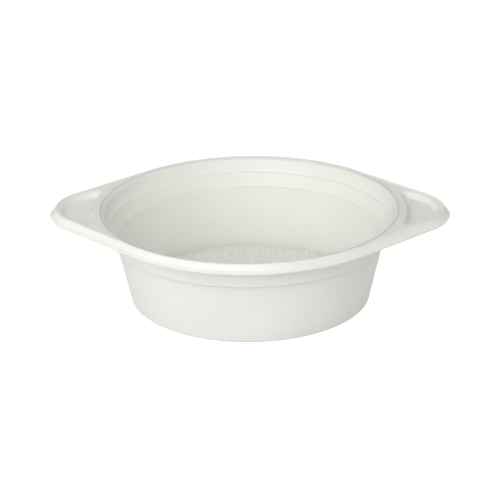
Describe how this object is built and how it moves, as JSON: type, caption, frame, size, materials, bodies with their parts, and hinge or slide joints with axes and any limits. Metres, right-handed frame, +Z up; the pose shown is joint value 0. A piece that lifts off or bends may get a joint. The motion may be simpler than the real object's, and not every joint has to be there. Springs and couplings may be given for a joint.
{
  "type": "disposable soup bowl with two ears",
  "caption": "Shallow round bowl in thin white plastic with a flanged rim, a flat ear on each side and a ribbed floor.",
  "frame": {"origin": "on the bowl's axis, at the level that the foot ring stands on", "axes": "+X through the right ear, +Y towards the back, +Z up"},
  "size_m": [0.1588, 0.126, 0.038],
  "materials": {
    "moulding": "satin, off-white, slightly translucent"
  },
  "bodies": {
    "root": {"ribbed_floor": "moulding", "foot_ring": "moulding", "lower_wall": "moulding", "upper_wall": "moulding", "rim": "moulding", "left_ear": "moulding", "right_ear": "moulding"}
  },
  "joints": []
}
